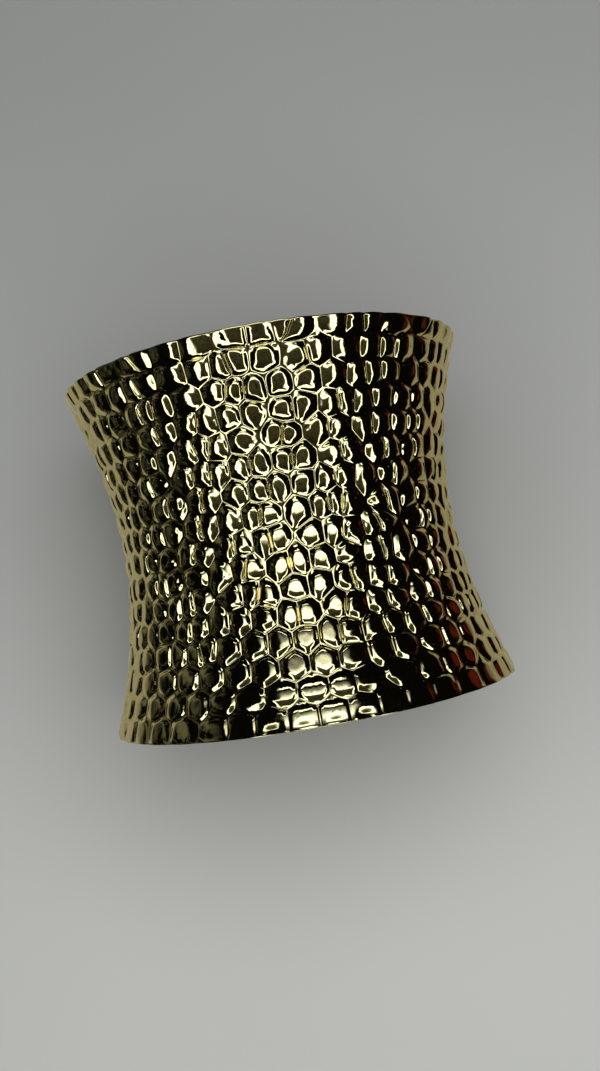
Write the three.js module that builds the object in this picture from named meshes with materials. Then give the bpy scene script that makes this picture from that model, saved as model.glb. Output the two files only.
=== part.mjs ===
// An open cuff bangle: one band of sheet brass bent to an oval C, narrow at the waist and flared at
// both rims. It lies on its opening. The wrist's axis runs along Y, the crown of the C faces +Z, and
// the four corners of the band stand on z = 0, with the origin midway between them. Millimetres.
import * as THREE from "three";

// The band
const BAND_LENGTH = 60.4; // along the wrist, from rim to rim
const WAIST_WIDTH = 60; // outside the narrow middle, across the wrist
const WAIST_DEPTH = 48; // outside the narrow middle, crown to opening, as if the oval were closed
const FLARE = 6; // how far the rims stand out beyond the waist
const FLARE_POWER = 1.85; // 1 would be a straight cone, 2 a parabola
const WALL = 1.1; // with the height of the embossed relief, whose crests are the outer face
const OPENING = 25; // the gap between the two ends of the C at the waist
const CORNER_RADIUS = 3; // where the ends of the C meet the rims

// How finely the curved faces are divided
const CORNER_COLUMNS = 5;
const MIDDLE_COLUMNS = 72;
const ROWS = 20;

const HALF_LENGTH = BAND_LENGTH / 2;
const HALF_WIDTH = WAIST_WIDTH / 2;
const HALF_DEPTH = WAIST_DEPTH / 2;
const END_ANGLE = Math.PI - Math.asin(OPENING / WAIST_WIDTH); // from the crown to one end of the C
const END_RADIUS = Math.hypot(
  (HALF_WIDTH + FLARE) * Math.cos(END_ANGLE),
  (HALF_DEPTH + FLARE) * Math.sin(END_ANGLE),
); // the length of rim for each radian, next to the ends
const CORNER_ANGLE = CORNER_RADIUS / END_RADIUS;

// Angles round the C of the columns that divide the band, measured from the crown. They close up in
// the rounded corners, where equal steps of the corner's quarter circle place them.
function columnAngles() {
  const corner = [];
  for (let i = 0; i < CORNER_COLUMNS; i++) {
    const turn = ((i / CORNER_COLUMNS) * Math.PI) / 2;
    corner.push(END_ANGLE - CORNER_ANGLE * (1 - Math.cos(turn)));
  }
  const middle = [];
  const side = END_ANGLE - CORNER_ANGLE;
  for (let i = 0; i <= MIDDLE_COLUMNS; i++) {
    middle.push(side * ((2 * i) / MIDDLE_COLUMNS - 1));
  }
  return [...corner.map((angle) => -angle), ...middle, ...corner.reverse()];
}

// Half the length of the band at an angle round the C: less within the rounded corners.
function halfLengthAt(angle) {
  const fromEnd = (END_ANGLE - Math.abs(angle)) * END_RADIUS;
  const shortOfArc = Math.max(0, CORNER_RADIUS - fromEnd);
  return HALF_LENGTH - CORNER_RADIUS + Math.sqrt(CORNER_RADIUS ** 2 - shortOfArc ** 2);
}

// A box one unit each way, with x along the C, y from rim to rim and z through the wall, bent into
// the band.
function bandGeometry() {
  const angles = columnAngles();
  const columns = angles.length - 1;
  const geometry = new THREE.BoxGeometry(1, 1, 1, columns, ROWS, 1);
  const position = geometry.getAttribute("position");
  for (let i = 0; i < position.count; i++) {
    const angle = angles[Math.round((position.getX(i) + 0.5) * columns)];
    const y = 2 * position.getY(i) * halfLengthAt(angle);
    const flare = FLARE * Math.abs(y / HALF_LENGTH) ** FLARE_POWER;
    const inward = position.getZ(i) > 0 ? 0 : WALL;
    const x = (HALF_WIDTH + flare - inward) * Math.sin(angle);
    const z = (HALF_DEPTH + flare - inward) * Math.cos(angle);
    position.setXYZ(i, x, y, z);
  }
  geometry.computeBoundingBox();
  geometry.translate(0, 0, -geometry.boundingBox.min.z);
  geometry.deleteAttribute("uv");
  geometry.computeVertexNormals();
  return geometry;
}

const polishedGold = new THREE.MeshStandardMaterial({
  name: "polished_gold",
  color: new THREE.Color(0.8, 0.71, 0.38),
  roughness: 0.12,
  metalness: 1,
});

const cuff = new THREE.Group();
const band = new THREE.Mesh(bandGeometry(), polishedGold);
band.name = "cuff_band";
cuff.add(band);

export default cuff;
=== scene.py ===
"""The looks of an open cuff bangle: one band of embossed, polished gold-tone sheet.

The CAD part is the smooth wall of the band. Here a relief of raised cells is cut into that wall, and
the result stands for the CAD node. Lengths are in millimetres until a mesh, a light or the camera is
made. A place on the sheet is given by two lengths: across, round the waist from the crown, and along,
from the middle towards the far rim.
"""
import math
from collections import namedtuple

import bpy
import numpy as np
from mathutils import Matrix, Vector


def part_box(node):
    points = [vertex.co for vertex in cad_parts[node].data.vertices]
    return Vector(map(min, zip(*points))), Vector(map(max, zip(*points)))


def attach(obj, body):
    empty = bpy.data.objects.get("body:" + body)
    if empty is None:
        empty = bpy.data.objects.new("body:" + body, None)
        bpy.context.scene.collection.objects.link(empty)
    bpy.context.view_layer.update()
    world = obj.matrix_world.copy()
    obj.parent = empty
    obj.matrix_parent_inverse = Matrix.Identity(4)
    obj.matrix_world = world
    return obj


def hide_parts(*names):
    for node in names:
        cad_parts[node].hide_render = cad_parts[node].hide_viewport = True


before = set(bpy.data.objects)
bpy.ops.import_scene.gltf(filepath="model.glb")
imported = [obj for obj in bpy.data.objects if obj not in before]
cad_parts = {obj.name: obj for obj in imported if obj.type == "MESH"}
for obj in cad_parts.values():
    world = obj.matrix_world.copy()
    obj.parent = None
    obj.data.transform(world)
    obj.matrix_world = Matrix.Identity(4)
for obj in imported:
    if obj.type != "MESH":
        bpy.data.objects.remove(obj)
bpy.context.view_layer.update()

MM = 0.001
NODE = "cuff_band"
BODY = "root"

# The band, as in the CAD part
BAND_LENGTH = 60.4
WAIST_WIDTH = 60.0
WAIST_DEPTH = 48.0
FLARE = 6.0
FLARE_POWER = 1.85
WALL = 1.1
OPENING = 25.0
CORNER_RADIUS = 3.0

HALF_LENGTH = BAND_LENGTH / 2
HALF_WIDTH = WAIST_WIDTH / 2
HALF_DEPTH = WAIST_DEPTH / 2
END_ANGLE = math.pi - math.asin(OPENING / WAIST_WIDTH)
CENTRE_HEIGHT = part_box(NODE)[1].z / MM - HALF_DEPTH - FLARE  # the oval's centre above the floor
CROWN = CENTRE_HEIGHT + HALF_DEPTH  # top of the narrow middle

# The layout of the cells: rows of them, like a honeycomb. Every cell strays a little from it.
SEED = 38
ROW_PITCH = 3.93
CELL_PITCH = 3.52  # measured round the waist, so the cells widen towards the rims
FIRST_ROW = 29.75  # where the row next to the far rim lies
ROWS_BEYOND = 3  # rows laid out past the near rim
SPARE_COLUMNS = 6  # columns laid out past the two ends of the C
ROW_SQUASH = 0.84  # below 1 makes the zigzag between rows steeper
RIM_FLATTENING = 0.50  # how much flatter the zigzag is near the rims
FLATTEN_FROM, FLATTEN_TO = 20.0, 28.0  # how far from the middle that sets in
ALONG_JITTER = 0.07  # share of a pitch that a cell strays
ACROSS_JITTER = 0.19
LARGEST_SLIP = 0.38  # the most that it may stray across
ROW_JITTER = 0.08  # share of a pitch that a whole row strays across
FIRST_UNREST = 1.8  # how much more the cells stray in the row next to the far rim
CALM_FROM, CALM_TO = -13.0, -22.0  # where along the band the cells grow more even
CALM = 0.35  # how much of the straying is left there
WAVES = 6  # slow sideways waves that make some cells wide and others narrow
WAVE_SIZE = 0.28
WAVE_ACROSS = (0.35, 0.85)  # least and most radians for each millimetre
WAVE_ALONG = (-0.35, 0.35)

# The last rows before the near rim have wider cells. The values in brackets are one for each of these
# rows, and one for the rows beyond the rim.
LAST_ROWS, LAST_PITCH = 3, 4.1
LAST_SHIFTS = (0.10, 0.0, 0.65, -0.20)  # how far the row is moved towards the far rim
LAST_SLIP = (0.35, 0.8, 0.9, 0.9)  # how much of the straying across is left
LAST_SWAY = (CALM, 0, 0, 0)  # how much of the straying along is left

# How a cell's outline is found
NEIGHBOURS = 20  # the nearest cells that may cut it
CLOSE_NEIGHBOURS = 10  # those that may shape its sides
SITES_AT_ONCE = 256
SITE_MARGIN = 8.0  # cells centred further than this past the sheet's outline can't reach it
CELL_REACH = 9.0  # no cell reaches further than this from its centre

# A cell in section: at each share of its radius from the middle, its slope in degrees
SLOPE_AT = (0, 0.15, 0.30, 0.44, 0.54, 0.65, 0.71, 0.82, 0.86, 0.90, 0.96, 1.0)
DOMED = (0, 2.3, 5.5, 11, 17.5, 27.5, 35, 38, 33.5, 28.5, 18.5, 1)
FLAT = (0, 0.6, 1.5, 3.6, 9, 26, 36, 39.5, 34, 28.5, 18.5, 1)
WIDE = (0, 0.8, 2.0, 3.5, 5.0, 7.5, 11, 42, 36, 21, 13, 1)
# The side of a cell towards the near rim: gentle in the far half of the band, steep in the near half
GENTLE = (0, 3.5, 7.0, 10.5, 13, 16, 17.5, 21, 22, 21, 14, 1)
STEEP = (0, 0.8, 2.0, 5.5, 13, 23, 27, 32, 34, 36, 22, 2)
# The rolled rows, which are the last two: the section of the far side, of the near side, of the near
# side next to the rim, and of the shallow grooves between the cells of a row
BROW = (0, 7.5, 9.5, 14, 28, 38, 42, 40, 36, 26, 12, 1)
EYE = (0, 3, 11.5, 24, 27, 27, 27, 24, 20, 15, 8, 0)
BEAD = (0, 9, 29, 31.5, 23.5, 6, 0, 0, 0, 0, 0, 0)
SEAM = (0, 0.5, 1, 1.5, 2, 2.5, 3, 8, 18, 33, 25, 1)

RELIEF_HEIGHT = 0.54
NOMINAL_RADIUS = 1.75  # the cell that the slopes are meant for
STRETCH_FROM = 0.44  # outside this share of the radius a section is stretched to the relief's height
SECTION_END = 1.3  # sections go on a little past the outline
SECTION_SAMPLES = 1000  # for one radius

# How the sections are shared out over the cells and over one cell
OUTER_CORNERS = 12.0  # how square a cell is: 2 is round, more is sharper
INNER_CORNERS = 2.3  # the same for its top
INNER_SCALE = 0.82  # evens out the size of the rounder top
SQUARE_FROM, SQUARE_TO = 0.50, 0.98  # where the top's shape turns into the outline's
SQUARE_EARLY_BELOW = 0.25  # how much earlier it does so on the side towards the near rim
SQUARE_EARLY_WIDE = 0.15  # and round a wide top
FLATNESS_SPREAD = 0.5  # how far a cell strays from its place's usual mix of domed and flat
FLATNESS_GROWTH = 1.2  # how much flatter the cells are at the near rim than at the far one
WIDE_AT = (-24, -22.5, -17, -13)  # where along the band the flat tops grow wide and narrow again
WIDE_SHARES = (0, 1, 1, 0)
SKIRT_WIDTH = 1.2  # over this length below its middle, a cell turns to its gentle or steep side
STEEP_FROM, STEEP_TO = 5.0, -8.0  # where along the band gentle gives way to steep
TILT = 0.036  # how far a cell's top leans, mm for each mm
SINK = 0.06  # how much lower some cells' tops are

# The rolled rows
LOW_FROM, BEAD_FROM = -23.5, -27.0  # where along the band they start, and the last of them
LOW_GAPS = (2.03, 1.63, 2.40)  # from the middle of each of those rows to its borders
ASIDE_FROM, ASIDE_WIDTH = 9.0, 8.0  # how far across they turn back to plain cells
OUTLINE_FROM, OUTLINE_WIDTH = 0.55, 0.42  # where a rolled cell's shape turns into its outline's
CREST_WIDTH = 0.4  # over which the far side turns into the near side
BEAD_ROUNDING = 0.6  # how much less the last row's near side falls at the two ends of a cell
BEAD_ROUND_FROM, BEAD_ROUND_WIDTH = 0.2, 0.65

# The relief is lower next to the edges: its share left there, and the width over which it grows
NEAR_EDGE_SHARE, NEAR_EDGE_WIDTH = 0.60, 0.8
NEAR_BAND_SHARE, NEAR_BAND_SHARE_ASIDE = 0.66, 0.83
NEAR_BAND_FROM, NEAR_BAND_WIDTH = 4.0, 8.0  # it grows from this far in
FAR_EDGE_SHARE, FAR_EDGE_WIDTH = 0.70, 2.5
FAR_BAND_SHARE, FAR_BAND_WIDTH = 0.88, 6.0
END_SHARE, END_WIDTH = 0.05, 4.0  # at the ends of the C

# The sheet's edges
RIM_ROUND = 0.24  # their rounding
ROLL_WIDTH = 0.35  # how far in from the edge the face starts to curve over
ROLL_RADIUS = 1.2

# How finely it is all divided
ANGLE_SAMPLES, PROFILE_SAMPLES = 7201, 4001
PROFILE_MARGIN = 1.0  # the profile's table goes on this far past the rims
CORNER_STEPS = 6  # round each corner of the sheet
RINGS = (0.24, 0.42, 0.55, 0.65, 0.73, 0.83, 0.90, 0.96)  # round each cell's middle
LEAST_REACH = 0.98  # the least rho that a point on an outline is taken to have
EDGE_STEP = 0.88  # between the points on a cell's outline
ROUND_STEPS = 3
NORMAL_STEP = 0.02  # how far apart points are taken to find a normal
RIM_PROBE = 0.1  # and to find the way out of the sheet

# The gold. Scales are for each metre.
GOLD_BRIGHT, GOLD_DEEP = (0.80, 0.71, 0.38), (0.77, 0.66, 0.34)
GOLD_PATCH_SCALE, GOLD_PATCH_RANGE = 90, (0.35, 0.65)
# A darker gold that the grooves turn towards
GROOVE_DARK_GOLD = (0.60, 0.48, 0.22)
GROOVE_DARK_FROM, GROOVE_DARK_SHARE = 0.92, 0.25  # darker gold in the grooves, which are where a cell's radius ends
UNDARKENED_MARK = 0.5  # the groove mark of the edges and the inner face, which are not darkened
WEAR_SCALE, WEAR_ROUGHNESS = 1500, (0.02, 0.07)
WAVINESS_SCALE, WAVINESS_HEIGHT = 2600, 0.003
NOISE_RANGE = (0.3, 0.7)  # what most of a noise texture's values lie in

# What the cuff mirrors overhead. Edges are left, right, near and far, in degrees from straight up, and
# soft is the share of a card's half size over which its border fades.
WHITE = (2.15, 2.33, 2.45)
DIM = (0.5, 0.5, 0.5)
Card = namedtuple("Card", "name edges height near_colour far_colour soft round_edge grain")
CARDS = (
    Card("softbox", (-37.5, 40, -57, 21), 1000, WHITE, WHITE, 0.04, True, 0),
    Card("spill", (-18, 20, 16, 26), 1010, (1.45, 1.57, 1.68), (0.72, 0.78, 0.84), 0.35, False, 0.25),
    Card("dim_spill", (-20, 22, 17, 34), 1015, (0.53, 0.58, 0.62), (0.04, 0.04, 0.04), 0.30, False, 0.4),
    Card("strip", (-21, 20, 36.5, 43.5), 1020, WHITE, WHITE, 0.3, False, 0.5),
    Card("shade", (-28, 31, -45, 9.5), 450, (0.012, 0.008, 0.005), (0.045, 0.043, 0.026), 0.22, False, 0.6),
    Card("lens", (-1.5, 3.5, -6, -1), 190, (0.004, 0.004, 0.004), (0.004, 0.004, 0.004), 0.3, True, 0),
    Card("lamp_a", (-60, -57.5, 2, 7), 1030, DIM, DIM, 0.5, True, 0),
    Card("lamp_b", (-68, -66, -16, -6), 1030, DIM, DIM, 0.5, True, 0),
    Card("lamp_c", (-50, -48, 15, 19), 1030, DIM, DIM, 0.5, True, 0),
    Card("lamp_d", (57, 58.5, 6, 10), 1030, DIM, DIM, 0.5, True, 0),
)
GLOW_TURN = (-0.7, 1)  # where on a card its near colour starts and stops turning into the far one
GRAIN_SCALE = 9
GRAIN_RANGE = (0.38, 0.62)

# The room round the cuff, as its reflections see it
ROOM = (0.0018, 0.0018, 0.0013)
ROOM_PATCHES = (
    # direction, how far round it in degrees, colour
    ((-1, 0.45, 0.12), 37, (0.125, 0.127, 0.098)),
    ((-1, -0.3, 0.02), 34, (0.097, 0.100, 0.078)),
    ((1, 0.08, -0.18), 14, (0.075, 0.016, 0.010)),
    ((1, -0.24, -0.14), 12, (0.075, 0.017, 0.010)),
    ((1, 0.42, -0.10), 17, (0.150, 0.018, 0.010)),
)
ROOM_CLOUD_SCALE = 3.2
ROOM_CLOUD_RANGE = (0.44, 0.66)
FILL = (0.30, 0.305, 0.30)  # what matt surfaces are lit by
BACKDROP = (0.115, 0.118, 0.116)

# The floor. Places are in metres.
FLOOR_HALF = 3.0
# The floor's colour holds painted light: paler towards -Y and darker towards +Y, as the light falls off
FLOOR_FAR, FLOOR_NEAR = (0.31, 0.318, 0.316), (0.64, 0.648, 0.628)
FLOOR_TURN = (0.14, -0.14)  # where along Y the far colour turns into the near one
FLOOR_SHADE = 0.70  # how much darker it is under and close to the cuff: a painted shadow
FLOOR_SHADE_RANGE = (0.02, 0.10)  # how far from the cuff's middle the painted shadow ends
FLOOR_CLOUD_SCALE = 6
FLOOR_CLOUD_DEPTH = 0.03
FLOOR_ROUGHNESS, FLOOR_SPECULAR = 0.9, 0.2
LIT_LEFT, LIT_RIGHT = (0.33, 0.318, 0.250), (0.290, 0.275, 0.212)  # the floor as the cuff mirrors it, as painted light: a glowing square, paler on the left
LIT_REACH = 0.205
LIT_FADE = 0.50
LIT_GRAIN = 0.12

# The light. Places are in metres.
LIGHT_PLACE, LIGHT_TARGET = (0.06, 0.06, 0.42), (0, 0, 0.02)
LIGHT_SIZE = 0.5
LIGHT_POWER = 1.35
LIGHT_COLOUR = (1.0, 0.99, 0.97)

# The camera looks almost straight down on the cuff, which is turned clockwise in the picture.
CAMERA_PLACE = (1.35, -8.33, CENTRE_HEIGHT + 147.3)
PITCH, YAW, ROLL = math.radians(-3.0), math.radians(0.26), math.radians(9.8)
SENSOR, LENS = 36.0, 27.025  # the sensor's longer side, and the focal length
NEAREST_SEEN = 10.0


# ---------------------------------------------------------------- shares and mixtures

def smooth(share):
    """0 up to 0, 1 from 1 on, and an S-shaped curve between."""
    share = np.clip(share, 0, 1)
    return share * share * (3 - 2 * share)


def mix(a, b, share):
    """a where share is 0, and b where it is 1."""
    return a * (1 - share) + b * share


def rising(least, gap, width):
    """Grows from least, where there is no gap, to 1, where the gap is as wide as width."""
    return mix(least, 1, np.clip(gap / width, 0, 1))


def between(p, q, share):
    """The point that lies this share of the way from p to q."""
    return p[0] + (q[0] - p[0]) * share, p[1] + (q[1] - p[1]) * share


# ---------------------------------------------------------------- the sheet

def length_tables():
    """Angle against length round the waist, and height along Y against length along the profile."""
    angle = np.linspace(-math.pi, math.pi, ANGLE_SAMPLES)
    speed = np.hypot(HALF_WIDTH * np.cos(angle), HALF_DEPTH * np.sin(angle))
    across = np.concatenate([[0], np.cumsum((speed[1:] + speed[:-1]) / 2 * np.diff(angle))])
    across -= across[-1] / 2
    y = np.linspace(-HALF_LENGTH - PROFILE_MARGIN, HALF_LENGTH + PROFILE_MARGIN, PROFILE_SAMPLES)
    flare = FLARE * np.abs(y / HALF_LENGTH) ** FLARE_POWER
    along = np.concatenate([[0], np.cumsum(np.hypot(np.diff(y), np.diff(flare)))])
    along -= along[-1] / 2
    return angle, across, y, np.interp(along, flatten_rows(along), along)


def flatten_rows(along):
    """Near the rims, draws the borders of the rows together, which flattens their zigzag."""
    near_rim = np.clip((np.abs(along) - FLATTEN_FROM) / (FLATTEN_TO - FLATTEN_FROM), 0, 1)
    phase = 2 * math.pi * (along - FIRST_ROW - ROW_PITCH / 2) / ROW_PITCH
    return along - RIM_FLATTENING * near_rim * ROW_PITCH / (2 * math.pi) * np.sin(phase)


ANGLES, ACROSS, YS, ALONG = length_tables()
RIM_ALONG = np.interp(HALF_LENGTH, YS, ALONG)
END_ACROSS = np.interp(END_ANGLE, ANGLES, ACROSS)


def surface(across, along, depth):
    """Points of the wall, at a depth below its outer face."""
    angle = np.interp(across, ACROSS, ANGLES)
    y = np.interp(along, ALONG, YS)
    out = FLARE * np.abs(y / HALF_LENGTH) ** FLARE_POWER - depth
    x = (HALF_WIDTH + out) * np.sin(angle)
    z = (HALF_DEPTH + out) * np.cos(angle) + CENTRE_HEIGHT
    return np.stack([x, y, z], -1)


def sheet_outline(inset):
    """The sheet's outline as a convex polygon in lengths across and along, anticlockwise."""
    end_radius = math.hypot((HALF_WIDTH + FLARE) * math.cos(END_ANGLE),
                            (HALF_DEPTH + FLARE) * math.sin(END_ANGLE))
    waist_radius = math.hypot(HALF_WIDTH * math.cos(END_ANGLE), HALF_DEPTH * math.sin(END_ANGLE))
    corner_across = CORNER_RADIUS * waist_radius / end_radius
    right, top = END_ACROSS - inset, RIM_ALONG - inset
    points = []
    for quarter in range(4):
        side_across = 1 if quarter in (0, 3) else -1
        side_along = 1 if quarter in (0, 1) else -1
        for step in range(CORNER_STEPS + 1):
            turn = math.radians(90 * quarter + 90 * step / CORNER_STEPS)
            across = side_across * (right - corner_across) + corner_across * math.cos(turn)
            along = side_along * (top - CORNER_RADIUS) + CORNER_RADIUS * math.sin(turn)
            points.append((across, along))
    return points


# ---------------------------------------------------------------- the cells

Cell = namedtuple("Cell", "polygon labels cut")


def cell_sites():
    """Centres of the cells, well past the sheet's outline on every side."""
    rng = np.random.default_rng(SEED)
    columns = int(2 * END_ACROSS / CELL_PITCH) + SPARE_COLUMNS
    rows = 1 + int(2 * FIRST_ROW / ROW_PITCH) + 1 + ROWS_BEYOND  # row 0 is past the far rim
    last_from = rows - ROWS_BEYOND - LAST_ROWS
    sites = []
    for row in range(rows):
        along = FIRST_ROW - (row - 1) * ROW_PITCH
        sway = rng.normal(0, ALONG_JITTER, columns) * ROW_PITCH
        slip = np.clip(rng.normal(0, ACROSS_JITTER, columns), -LARGEST_SLIP, LARGEST_SLIP) * CELL_PITCH
        shift = (row % 2) * 0.5 + rng.uniform(-ROW_JITTER, ROW_JITTER)
        pitch = CELL_PITCH
        if row == 1:
            sway *= FIRST_UNREST
            slip *= FIRST_UNREST
        if row >= last_from:
            last = min(row - last_from, LAST_ROWS)
            pitch = LAST_PITCH
            slip *= LAST_SLIP[last]
            sway *= LAST_SWAY[last]
            along += LAST_SHIFTS[last]
        for column in range(columns):
            across = (column - columns / 2 + shift) * pitch
            sites.append((across + slip[column], along + sway[column]))
    return sway_by_waves(np.array(sites), rng)


def sway_by_waves(sites, rng):
    """Moves the cells across by slow waves, which are weaker where the cells are calm."""
    unrest = np.interp(sites[:, 1], (CALM_TO, CALM_FROM), (CALM, 1))
    for wave in range(WAVES):
        way = rng.uniform(*WAVE_ACROSS), rng.uniform(*WAVE_ALONG)
        phase = rng.uniform(0, 2 * math.pi)
        sites[:, 0] += WAVE_SIZE * unrest * np.sin(sites[:, 0] * way[0] + sites[:, 1] * way[1] + phase)
    return sites


def nearest_sites(sites, count):
    """For each site, the numbers of its nearest neighbours, nearest first."""
    flat = sites * (1, ROW_SQUASH)
    found = np.empty((len(flat), count), int)
    for start in range(0, len(flat), SITES_AT_ONCE):
        block = flat[start:start + SITES_AT_ONCE]
        gap = ((block[:, None] - flat[None]) ** 2).sum(-1)
        found[start:start + SITES_AT_ONCE] = np.argsort(gap, axis=1)[:, 1:count + 1]
    return found


def cut_polygon(polygon, labels, point, normal, label):
    """Keeps the part of a convex polygon behind a line; labels name the edge after each corner."""
    sides = [(p[0] - point[0]) * normal[0] + (p[1] - point[1]) * normal[1] for p in polygon]
    if max(sides) <= 0:
        return polygon, labels
    kept, kept_labels = [], []
    for i, corner in enumerate(polygon):
        after = (i + 1) % len(polygon)
        inside, inside_after = sides[i] <= 0, sides[after] <= 0
        if inside:
            kept.append(corner)
            kept_labels.append(labels[i])
        if inside != inside_after:
            kept.append(between(corner, polygon[after], sides[i] / (sides[i] - sides[after])))
            kept_labels.append(label if inside else labels[i])
    return kept, kept_labels


def cell_polygons(sites, neighbours, outline):
    """Each cell, cut to the sheet. Its labels name the edges of its polygon: the number of the cell
    beyond, or (-1 - n) for side n of the outline."""
    widest, longest = outline[0][0] + SITE_MARGIN, outline[CORNER_STEPS][1] + SITE_MARGIN
    cells = {}
    for i, site in enumerate(sites):
        if abs(site[0]) > widest or abs(site[1]) > longest:
            continue
        polygon = [(site[0] + CELL_REACH * a, site[1] + CELL_REACH * b)
                   for a, b in ((-1, -1), (1, -1), (1, 1), (-1, 1))]
        labels = [None] * 4
        for j in neighbours[i]:
            other = sites[j]
            normal = (other[0] - site[0], (other[1] - site[1]) * ROW_SQUASH ** 2)
            polygon, labels = cut_polygon(polygon, labels, between(site, other, 0.5), normal, int(j))
        whole = len(polygon)
        for n, corner in enumerate(outline):
            after = outline[(n + 1) % len(outline)]
            normal = (after[1] - corner[1], corner[0] - after[0])
            polygon, labels = cut_polygon(polygon, labels, corner, normal, -1 - n)
            if len(polygon) < 3:
                break
        if len(polygon) >= 3:
            cut = len(polygon) != whole or any(label < 0 for label in labels)
            cells[i] = Cell(polygon, labels, cut)
    return cells


# ---------------------------------------------------------------- the relief's height

RHO = np.linspace(0, SECTION_END, round(SECTION_END * SECTION_SAMPLES) + 1)


def depth_table(slopes, height=RELIEF_HEIGHT):
    """Depth below a cell's top at each RHO, which is 0 at its middle and 1 on its outline. The outer
    part is stretched to give the depth of the groove, unless height is None."""
    fall = np.tan(np.radians(np.interp(RHO, SLOPE_AT, slopes)))
    steps = (fall[1:] + fall[:-1]) / 2 * np.diff(RHO) * NOMINAL_RADIUS
    first = round(STRETCH_FROM * SECTION_SAMPLES)
    if height:
        steps[first:] *= (height - steps[:first].sum()) / steps[first:SECTION_SAMPLES].sum()
    return np.concatenate([[0], np.cumsum(steps)])


DOMED_DEPTH = depth_table(DOMED)
FLAT_DEPTH = depth_table(FLAT)
WIDE_DEPTH = depth_table(WIDE)
GENTLE_DEPTH = depth_table(GENTLE)
STEEP_DEPTH = depth_table(STEEP)
BROW_DEPTH = depth_table(BROW)
EYE_DEPTH = depth_table(EYE)
BEAD_DEPTH = depth_table(BEAD, None)
SEAM_DEPTH = depth_table(SEAM, None)


def aside(across):
    """0 over the crown and 1 well down the sides, where the rolled rows turn back to plain cells."""
    return smooth((np.abs(across) - ASIDE_FROM) / ASIDE_WIDTH)


def strength(across, along):
    """How much of its height the relief has: less next to the rims and the ends of the C."""
    near_gap, far_gap = RIM_ALONG + along, RIM_ALONG - along
    end_gap = END_ACROSS - np.abs(across)
    near_share = mix(NEAR_BAND_SHARE, NEAR_BAND_SHARE_ASIDE, aside(across))
    share = rising(near_share, near_gap - NEAR_BAND_FROM, NEAR_BAND_WIDTH)
    share = share * rising(NEAR_EDGE_SHARE, near_gap, NEAR_EDGE_WIDTH)
    share = share * rising(FAR_BAND_SHARE, far_gap, FAR_BAND_WIDTH)
    share = share * rising(FAR_EDGE_SHARE, far_gap, FAR_EDGE_WIDTH)
    return share * np.clip(END_SHARE + end_gap / END_WIDTH, 0, 1)


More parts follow.
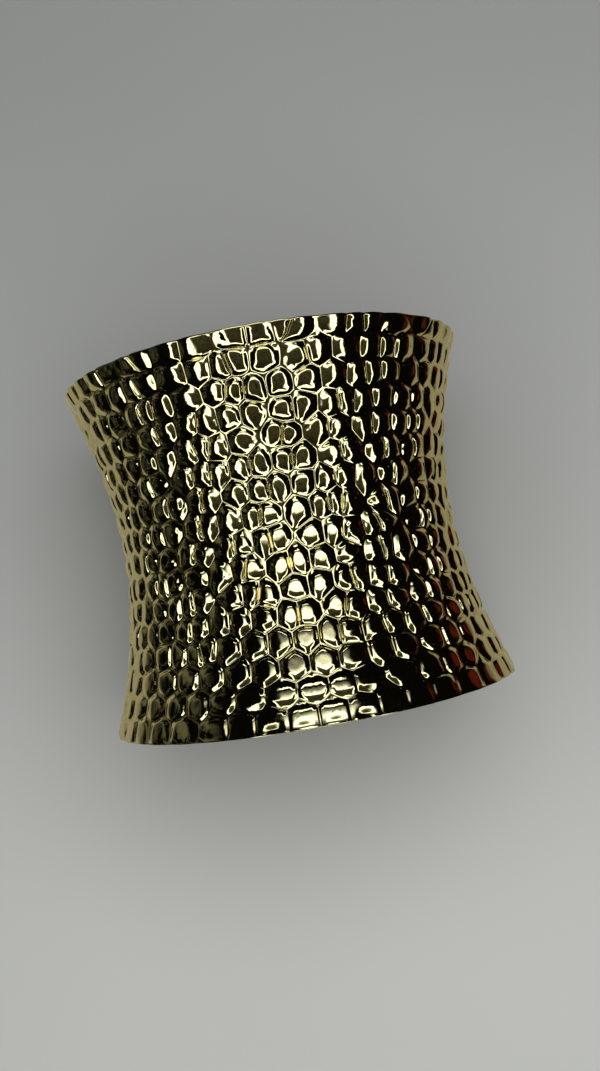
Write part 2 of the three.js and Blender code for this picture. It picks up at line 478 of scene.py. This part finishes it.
class Relief:
    """Depth of the relief anywhere on the sheet, from the cell that owns the point."""

    def __init__(self, sites, neighbours):
        rng = np.random.default_rng(SEED + 1)
        along = sites[:, 1]
        self.sites = sites
        self.flat = sites * (1, ROW_SQUASH)
        self.near = neighbours[:, :CLOSE_NEIGHBOURS]
        self.tilt = rng.normal(0, TILT, (len(sites), 2))
        self.sink = rng.uniform(0, SINK, len(sites))
        # The share that each cell has of a section: flat, wide, steep, rolled and next to the rim
        towards_near_rim = 0.5 - along / (2 * RIM_ALONG)
        stray = rng.uniform(-FLATNESS_SPREAD, FLATNESS_SPREAD, len(sites))
        self.flatness = np.clip(stray + FLATNESS_GROWTH * towards_near_rim, 0, 1)
        self.width = np.interp(along, WIDE_AT, WIDE_SHARES)
        self.steepness = np.clip((STEEP_FROM - along) / (STEEP_FROM - STEEP_TO), 0, 1)
        self.low = (along < LOW_FROM) * (1 - aside(sites[:, 0]))
        self.bead = (along < BEAD_FROM) * 1.0
        # Which of a cell's close neighbours lie beside it, and not above or below
        way = self.flat[self.near] - self.flat[:, None]
        self.beside = np.abs(way[..., 0]) > np.abs(way[..., 1])

    def reaches(self, owner, across, along):
        """How near a point is to each side of its cell: 1 on the side, 0 level with the middle."""
        point = np.stack([across, along * ROW_SQUASH], -1) - self.flat[owner]
        way = self.flat[self.near[owner]] - self.flat[owner][:, None]
        reach = 2 * (point[:, None] * way).sum(-1) / (way ** 2).sum(-1)
        return np.clip(reach, 0, None)

    def rho(self, owner, across, along, corners=OUTER_CORNERS):
        """How far out in its cell a point is: 0 at the middle and 1 on the outline."""
        reach = self.reaches(owner, across, along)
        return (reach ** corners).sum(-1) ** (1 / corners)

    def rolled_depth(self, owner, across, along):
        """Depth in the rolled rows."""
        reach = self.reaches(owner, across, along)
        beside = self.beside[owner]
        across_rho = ((reach * beside) ** OUTER_CORNERS).sum(-1) ** (1 / OUTER_CORNERS)
        along_rho = ((reach * ~beside) ** OUTER_CORNERS).sum(-1) ** (1 / OUTER_CORNERS)
        climb = along - self.sites[owner, 1]
        bead = self.bead[owner]
        far_gap = mix(LOW_GAPS[0], LOW_GAPS[1], bead)
        near_gap = mix(LOW_GAPS[1], LOW_GAPS[2], bead)
        level_rho = np.where(climb > 0, climb / far_gap, -climb / near_gap)
        rho = mix(level_rho, along_rho, smooth((along_rho - OUTLINE_FROM) / OUTLINE_WIDTH))
        rounding = 1 - BEAD_ROUNDING * smooth((across_rho - BEAD_ROUND_FROM) / BEAD_ROUND_WIDTH)
        near = mix(np.interp(rho, RHO, EYE_DEPTH), np.interp(rho, RHO, BEAD_DEPTH) * rounding, bead)
        down = mix(near, np.interp(rho, RHO, BROW_DEPTH), smooth(climb / CREST_WIDTH + 0.5))
        seam = np.interp(across_rho, RHO, SEAM_DEPTH)
        return down + seam - down * seam / RELIEF_HEIGHT

    def plain_depth(self, owner, rho, skirt):
        """Depth in the other rows, at a rho; skirt is 1 on the side towards the near rim."""
        top = mix(np.interp(rho, RHO, DOMED_DEPTH), np.interp(rho, RHO, FLAT_DEPTH), self.flatness[owner])
        top = mix(top, np.interp(rho, RHO, WIDE_DEPTH), self.width[owner])
        side = mix(np.interp(rho, RHO, GENTLE_DEPTH), np.interp(rho, RHO, STEEP_DEPTH),
                   self.steepness[owner])
        return mix(top, side, skirt)

    def depth(self, owner, across, along):
        """Depth below the outer face of the wall."""
        skirt = smooth((self.sites[owner, 1] - along) / SKIRT_WIDTH)
        outer = self.rho(owner, across, along)
        inner = self.rho(owner, across, along, INNER_CORNERS)
        early = mix(SQUARE_EARLY_WIDE * self.width[owner], SQUARE_EARLY_BELOW, skirt)
        turn = smooth((outer - SQUARE_FROM + early) / (SQUARE_TO - SQUARE_FROM))
        rho = mix(inner * INNER_SCALE, outer, turn)
        low = self.low[owner]
        down = mix(self.plain_depth(owner, rho, skirt), self.rolled_depth(owner, across, along), low)
        inside = np.clip(1 - rho ** 2, 0, 1) ** 2
        offset = np.stack([across, along], -1) - self.sites[owner]
        lean = (offset * self.tilt[owner]).sum(-1) * inside
        sink = self.sink[owner] * inside * (1 - low)
        roll = np.clip(ROLL_WIDTH - RIM_ALONG + np.abs(along), 0, None) ** 2 / (2 * ROLL_RADIUS)
        return np.clip(down * strength(across, along) + sink + lean, 0, None) + roll


# ---------------------------------------------------------------- the outer face

class Sheet:
    """Collects the points of the outer face, each with the cell that owns it, and the faces."""

    def __init__(self):
        self.owner, self.across, self.along = [], [], []
        self.faces = []
        self.shared = {}

    def point(self, owner, place):
        """Adds a point and returns its number."""
        self.owner.append(owner)
        self.across.append(place[0])
        self.along.append(place[1])
        return len(self.owner) - 1

    def shared_point(self, key, owner, place):
        """The same, but the cells on both sides of an edge get the same point for the same key."""
        if key not in self.shared:
            self.shared[key] = self.point(owner, place)
        return self.shared[key]

    def outline_of(self, i, cell):
        """Numbers of the points round a cell, shared with the cells beyond its edges."""
        count = len(cell.polygon)
        keys = [frozenset((i, cell.labels[k - 1], cell.labels[k])) for k in range(count)]
        ring = []
        for k, label in enumerate(cell.labels):
            after = (k + 1) % count
            p, q = cell.polygon[k], cell.polygon[after]
            ring.append(self.shared_point(keys[k], i, p))
            steps = max(1, round(math.dist(p, q) / EDGE_STEP))
            forward = label < 0 or i < label
            for step in range(1, steps):
                key = (keys[k], keys[after], step) if forward else (keys[after], keys[k], steps - step)
                ring.append(self.shared_point(key, i, between(p, q, step / steps)))
        return ring


def build_cells(cells, relief):
    """The outer face, cell by cell: rings of points from each middle out to the shared outline."""
    sheet = Sheet()
    outlines = {i: sheet.outline_of(i, cell) for i, cell in cells.items()}
    for i, cell in cells.items():
        outline = outlines[i]
        across = np.array([sheet.across[n] for n in outline])
        along = np.array([sheet.along[n] for n in outline])
        if cell.cut:
            middle, reach = np.mean(np.array(cell.polygon), axis=0), np.ones(len(outline))
        else:
            middle, reach = relief.sites[i], relief.rho(np.full(len(outline), i), across, along)
        centre = sheet.point(i, middle)
        inner = None
        for share in RINGS:
            shares = share / np.maximum(reach, LEAST_REACH)
            ring = [sheet.point(i, between(middle, edge, t)) for *edge, t in zip(across, along, shares)]
            sheet.faces += join_rings(inner, ring) if inner else fan(centre, ring)
            inner = ring
        sheet.faces += join_rings(inner, outline)
    return sheet, outlines


def fan(centre, ring):
    """Faces from a point to a closed ring round it."""
    return [(centre, ring[k - 1], ring[k]) for k in range(len(ring))]


def join_rings(inner, outer):
    """Faces between two closed rings with the same number of points."""
    return [(inner[k - 1], outer[k - 1], outer[k], inner[k]) for k in range(len(outer))]


def rim_loop(outlines):
    """The points round the sheet's outline, in order: the cell edges that no other cell shares."""
    edges = {(ring[k - 1], ring[k]) for ring in outlines.values() for k in range(len(ring))}
    after = {a: b for a, b in edges if (b, a) not in edges}
    start = min(after)
    loop = [start]
    while after[loop[-1]] != start:
        loop.append(after[loop[-1]])
    assert len(loop) == len(after), "the rim is one loop"
    return loop


# ---------------------------------------------------------------- the mesh

def unit(vectors):
    return vectors / np.linalg.norm(vectors, axis=-1, keepdims=True)


def outward(across, along):
    """Unit directions out of a closed anticlockwise loop, in lengths across and along."""
    loop = np.stack([across, along], -1)
    way = unit(np.roll(loop, -1, axis=0) - np.roll(loop, 1, axis=0))
    return np.stack([way[:, 1], -way[:, 0]], -1)


def normals_of(place, across, along):
    """Normals of a surface given by place(across, along), by small differences."""
    change_across = place(across + NORMAL_STEP, along) - place(across - NORMAL_STEP, along)
    change_along = place(across, along + NORMAL_STEP) - place(across, along - NORMAL_STEP)
    return unit(np.cross(change_across, change_along))


class Skin:
    """Collects the mesh of the whole band."""

    def __init__(self):
        self.points, self.normals, self.groove, self.faces = [], [], [], []
        self.count = 0

    def add(self, points, normals, groove):
        """Adds points, with their normals and groove marks, and returns their numbers."""
        self.points.append(points)
        self.normals.append(normals)
        self.groove.append(np.broadcast_to(groove, len(points)))
        self.count += len(points)
        return list(range(self.count - len(points), self.count))


def add_rim(skin, loop, across, along, depth):
    """Rounds the sheet's edge, from the outer face's loop over to the inner face. Returns the last of
    its rings."""
    out = outward(across, along)
    face_normal = normals_of(lambda a, b: surface(a, b, 0), across, along)
    ahead = surface(across + out[:, 0] * RIM_PROBE, along + out[:, 1] * RIM_PROBE, 0)
    edge_normal = unit(ahead - surface(across, along, 0))
    outer_round = [(90 * (k + 1) / ROUND_STEPS, depth + RIM_ROUND) for k in range(ROUND_STEPS)]
    inner_round = [(90 + 90 * k / ROUND_STEPS, WALL - RIM_ROUND) for k in range(ROUND_STEPS)]
    for degrees, centre_depth in outer_round + inner_round:
        turn = math.radians(degrees)
        shift = RIM_ROUND * math.sin(turn)
        level = centre_depth - RIM_ROUND * math.cos(turn)
        points = surface(across + out[:, 0] * shift, along + out[:, 1] * shift, level)
        normals = unit(face_normal * math.cos(turn) + edge_normal * math.sin(turn))
        ring = skin.add(points, normals, UNDARKENED_MARK)
        skin.faces += join_rings(loop, ring)
        loop = ring
    return loop


def add_inner_face(skin, cells, outlines, across, along):
    """The smooth inner face, as one fan for each cell. Returns the new number of each outline point."""
    used = sorted({n for ring in outlines.values() for n in ring})
    middles = np.array([np.mean(np.array(cell.polygon), axis=0) for cell in cells.values()])
    inner_across = np.concatenate([across[used], middles[:, 0]])
    inner_along = np.concatenate([along[used], middles[:, 1]])
    normals = -normals_of(lambda a, b: surface(a, b, WALL), inner_across, inner_along)
    numbers = skin.add(surface(inner_across, inner_along, WALL), normals, UNDARKENED_MARK)
    number_of = dict(zip(used, numbers))
    for centre, ring in zip(numbers[len(used):], outlines.values()):
        skin.faces += fan(centre, [number_of[n] for n in reversed(ring)])
    return number_of


def band_mesh():
    """The closed mesh of the band: its points, their normals and groove marks, and its faces."""
    sites = cell_sites()
    neighbours = nearest_sites(sites, NEIGHBOURS)
    cells = cell_polygons(sites, neighbours, sheet_outline(RIM_ROUND))
    relief = Relief(sites, neighbours)
    sheet, outlines = build_cells(cells, relief)
    owner, across, along = np.array(sheet.owner), np.array(sheet.across), np.array(sheet.along)
    depth = relief.depth(owner, across, along)
    skin = Skin()
    normals = normals_of(lambda a, b: surface(a, b, relief.depth(owner, a, b)), across, along)
    skin.add(surface(across, along, depth), normals, relief.rho(owner, across, along))
    skin.faces += sheet.faces
    loop = rim_loop(outlines)
    last_ring = add_rim(skin, loop, across[loop], along[loop], depth[loop])
    number_of = add_inner_face(skin, cells, outlines, across, along)
    skin.faces += join_rings(last_ring, [number_of[n] for n in loop])
    return np.concatenate(skin.points), np.concatenate(skin.normals), np.concatenate(skin.groove), skin.faces


def make_band(material):
    points, normals, groove, faces = band_mesh()
    mesh = bpy.data.meshes.new("embossed_band")
    mesh.from_pydata((points * MM).tolist(), [], faces)
    mesh.polygons.foreach_set("use_smooth", [True] * len(mesh.polygons))
    mark = mesh.attributes.new("groove", "FLOAT", "POINT")
    mark.data.foreach_set("value", np.clip(groove, 0, 1).astype(np.float32))
    mesh.normals_split_custom_set_from_vertices(normals.tolist())
    mesh.materials.append(material)
    band = bpy.data.objects.new("embossed_band", mesh)
    bpy.context.scene.collection.objects.link(band)
    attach(band, BODY)
    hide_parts(NODE)


# ---------------------------------------------------------------- materials

class Graph:
    """The nodes of a material or of the world, and short ways to add more. A value that feeds a node is
    a number, a colour, a vector or another node's output."""

    def __init__(self, owner):
        owner.use_nodes = True
        self.nodes, self.links = owner.node_tree.nodes, owner.node_tree.links

    def add(self, kind, inputs, output, **settings):
        """Adds a node with these settings and inputs, and returns one of its outputs."""
        node = self.nodes.new("ShaderNode" + kind)
        for name, value in settings.items():
            setattr(node, name, value)
        for name, value in inputs.items():
            self.feed(node.inputs[name], value)
        return node.outputs[output]

    def feed(self, socket, value):
        """Links an output to a socket, or sets the socket's own value."""
        if isinstance(value, bpy.types.NodeSocket):
            self.links.new(value, socket)
        elif socket.type == "RGBA":
            socket.default_value = (*value, 1)
        else:
            socket.default_value = value

    def coordinates(self, kind):
        return self.add("TexCoord", {}, kind)

    def noise(self, place, scale, detail):
        return self.add("TexNoise", {"Vector": place, "Scale": scale, "Detail": detail}, "Fac")

    def remap(self, value, old, new):
        """Turns the range old into the range new, in a straight line, and stays inside it."""
        ranges = {"From Min": old[0], "From Max": old[1], "To Min": new[0], "To Max": new[1]}
        return self.add("MapRange", {"Value": value, **ranges}, "Result")

    def level(self, value, low, high):
        """0 below low, 1 above high, smooth between; low may be the greater of the two."""
        ranges = {"From Min": low, "From Max": high}
        return self.add("MapRange", {"Value": value, **ranges}, "Result", interpolation_type="SMOOTHSTEP")

    def product(self, *values):
        result = values[0]
        for value in values[1:]:
            result = self.add("Math", {0: result, 1: value}, "Value", operation="MULTIPLY")
        return result

    def axis(self, place, name):
        return self.add("SeparateXYZ", {"Vector": place}, name)

    def length(self, place):
        return self.add("VectorMath", {0: place}, "Value", operation="LENGTH")

    def dot(self, place, direction):
        return self.add("VectorMath", {0: place, 1: direction}, "Value", operation="DOT_PRODUCT")

    def scaled(self, colour, share):
        return self.add("VectorMath", {0: colour, "Scale": share}, "Vector", operation="SCALE")

    def mixed(self, share, a, b):
        return self.add("Mix", {"Factor": share, "A": a, "B": b}, "Result", data_type="RGBA")


def surface_graph(name):
    """A new material with its graph and its surface shader."""
    material = bpy.data.materials.new(name)
    graph = Graph(material)
    return material, graph, graph.nodes["Principled BSDF"]


def gold_material():
    """Mirror-polished gold tone, with slight changes of colour, fine wear and fine waviness."""
    material, graph, shader = surface_graph("polished_gold")
    place = graph.coordinates("Object")
    patches = graph.remap(graph.noise(place, GOLD_PATCH_SCALE, 3), GOLD_PATCH_RANGE, (0, 1))
    gold_tone = graph.mixed(patches, GOLD_BRIGHT, GOLD_DEEP)
    mark = graph.add("Attribute", {}, "Fac", attribute_name="groove")
    # The gold turns darker in the grooves
    groove_darkening = graph.remap(mark, (GROOVE_DARK_FROM, 1), (0, GROOVE_DARK_SHARE))
    graph.feed(shader.inputs["Base Color"], graph.mixed(groove_darkening, gold_tone, GROOVE_DARK_GOLD))
    shader.inputs["Metallic"].default_value = 1
    wear = graph.remap(graph.noise(place, WEAR_SCALE, 3), NOISE_RANGE, WEAR_ROUGHNESS)
    graph.feed(shader.inputs["Roughness"], wear)
    waviness = graph.noise(place, WAVINESS_SCALE, 2)
    bump = {"Height": waviness, "Strength": 1, "Distance": WAVINESS_HEIGHT * MM}
    graph.feed(shader.inputs["Normal"], graph.add("Bump", bump, "Normal"))
    return material


def floor_material():
    """A pale matt floor with painted light and shade: darker far away, where the light falls off, and a
    painted shadow round the cuff.
    """
    material, graph, shader = surface_graph("pale_floor")
    place = graph.coordinates("Object")
    cloud_range = (1 - FLOOR_CLOUD_DEPTH, 1 + FLOOR_CLOUD_DEPTH)
    cloud = graph.remap(graph.noise(place, FLOOR_CLOUD_SCALE, 2), NOISE_RANGE, cloud_range)
    # Painted light: the floor's colour darkens towards +Y
    colour = graph.mixed(graph.level(graph.axis(place, "Y"), *FLOOR_TURN), FLOOR_FAR, FLOOR_NEAR)
    # A painted shadow: the floor's colour is darker under and close to the cuff
    clear = graph.level(graph.length(place), *FLOOR_SHADE_RANGE)
    dim = graph.remap(clear, (0, 1), (FLOOR_SHADE, 1))
    graph.feed(shader.inputs["Base Color"], graph.scaled(colour, graph.product(cloud, dim)))
    shader.inputs["Roughness"].default_value = FLOOR_ROUGHNESS
    shader.inputs["Specular IOR Level"].default_value = FLOOR_SPECULAR
    return material


def glow_material(name, near, far, soft, round_edge, grain, axis="Y"):
    """Light from a card: one colour at its near edge and one at its far edge, with soft borders."""
    material = bpy.data.materials.new(name)
    graph = Graph(material)
    graph.nodes.clear()
    place = graph.coordinates("Object")
    if round_edge:
        cover = graph.level(graph.length(place), 1, 1 - soft)
    else:
        cover = graph.product(*[graph.level(graph.axis(place, way), side, side * (1 - soft))
                                for way in ("X", "Y") for side in (-1, 1)])
    colour = graph.mixed(graph.level(graph.axis(place, axis), *GLOW_TURN), near, far)
    if grain:
        spots = graph.remap(graph.noise(place, GRAIN_SCALE, 4), GRAIN_RANGE, (1 - grain, 1 + grain))
        colour = graph.scaled(colour, spots)
    glow = graph.add("Emission", {"Color": colour}, "Emission")
    clear = graph.add("BsdfTransparent", {}, "BSDF")
    shader = graph.add("MixShader", {"Fac": cover, 1: clear, 2: glow}, "Shader")
    graph.feed(graph.nodes.new("ShaderNodeOutputMaterial").inputs["Surface"], shader)
    return material


# ---------------------------------------------------------------- the studio

def level_square(name, half, material):
    """A square on the floor, about the origin, that isn't part of the object."""
    mesh = bpy.data.meshes.new(name)
    corners = [(-half, -half, 0), (half, -half, 0), (half, half, 0), (-half, half, 0)]
    mesh.from_pydata(corners, [], [(0, 1, 2, 3)])
    mesh.materials.append(material)
    piece = bpy.data.objects.new(name, mesh)
    bpy.context.scene.collection.objects.link(piece)
    return piece


def reflected_square(name, material):
    """A square, one metre each way from its middle, that shows only in reflections."""
    piece = level_square(name, 1, material)
    for ray in ("camera", "diffuse", "shadow", "transmission", "volume_scatter"):
        setattr(piece, "visible_" + ray, False)
    return piece


def make_card(card):
    """A card over the cuff, as large as its edges say when seen from the crown."""
    glow = glow_material(card.name, card.near_colour, card.far_colour, card.soft, card.round_edge,
                         card.grain)
    piece = reflected_square(card.name, glow)
    rise = (card.height - CROWN) * MM
    left, right, near, far = [math.tan(math.radians(edge)) * rise for edge in card.edges]
    piece.location = ((left + right) / 2, (near + far) / 2, card.height * MM)
    piece.scale = ((right - left) / 2, (far - near) / 2, 1)


def make_floor():
    """The floor, and a glowing square of painted light that stands for the lit part of it that shows in the
    cuff.
    """
    floor = level_square("floor", FLOOR_HALF, floor_material())
    floor.visible_glossy = False
    # Painted light: the floor that the cuff mirrors glows, paler on the left and fading further out
    glow = glow_material("lit_floor", LIT_LEFT, LIT_RIGHT, LIT_FADE, True, LIT_GRAIN, "X")
    lit = reflected_square("floor_in_reflections", glow)
    lit.scale = (LIT_REACH, LIT_REACH, 1)


def make_light():
    """One soft light overhead. The cuff doesn't mirror it, because the cards stand for it there."""
    light = bpy.data.lights.new("overhead", "AREA")
    light.shape = "DISK"
    light.size = LIGHT_SIZE
    light.energy = LIGHT_POWER
    light.color = LIGHT_COLOUR
    lamp = bpy.data.objects.new("overhead", light)
    way = Vector(LIGHT_TARGET) - Vector(LIGHT_PLACE)
    lamp.location = LIGHT_PLACE
    lamp.rotation_euler = way.to_track_quat("-Z", "Y").to_euler()
    lamp.visible_camera = False
    lamp.visible_glossy = False
    bpy.context.scene.collection.objects.link(lamp)


def make_world():
    """A plain backdrop for the camera, soft fill for matt surfaces and a dark room for reflections."""
    world = bpy.data.worlds.new("studio")
    bpy.context.scene.world = world
    graph = Graph(world)
    graph.nodes.clear()
    way = graph.coordinates("Generated")
    clouds = graph.level(graph.noise(way, ROOM_CLOUD_SCALE, 2), *ROOM_CLOUD_RANGE)
    room = ROOM
    for direction, spread, colour in ROOM_PATCHES:
        dot = graph.dot(way, Vector(direction).normalized())
        near = graph.level(dot, math.cos(math.radians(spread)), 1)
        room = graph.mixed(graph.product(near, clouds), room, colour)
    unseen = graph.mixed(graph.add("LightPath", {}, "Is Glossy Ray"), FILL, room)
    seen = graph.mixed(graph.add("LightPath", {}, "Is Camera Ray"), unseen, BACKDROP)
    background = graph.add("Background", {"Color": seen}, "Background")
    graph.feed(graph.nodes.new("ShaderNodeOutputWorld").inputs["Surface"], background)


def make_studio():
    make_floor()
    make_world()
    for card in CARDS:
        make_card(card)
    make_light()


# ---------------------------------------------------------------- the camera

def make_camera():
    right = Vector((math.cos(YAW), math.sin(PITCH) * math.sin(YAW), math.cos(PITCH) * math.sin(YAW)))
    down = Vector((0, -math.cos(PITCH), math.sin(PITCH)))
    forward = right.cross(down)
    picture_right = right * math.cos(ROLL) + down * math.sin(ROLL)
    picture_down = down * math.cos(ROLL) - right * math.sin(ROLL)
    lens = bpy.data.cameras.new("camera")
    lens.sensor_width = SENSOR
    lens.lens = LENS
    lens.clip_start = NEAREST_SEEN * MM
    camera = bpy.data.objects.new("camera", lens)
    turn = Matrix((picture_right, -picture_down, -forward)).transposed()
    camera.matrix_world = Matrix.Translation(Vector(CAMERA_PLACE) * MM) @ turn.to_4x4()
    bpy.context.scene.collection.objects.link(camera)
    bpy.context.scene.camera = camera


make_camera()
make_band(gold_material())
make_studio()
bpy.context.scene.view_settings.view_transform = "Standard"
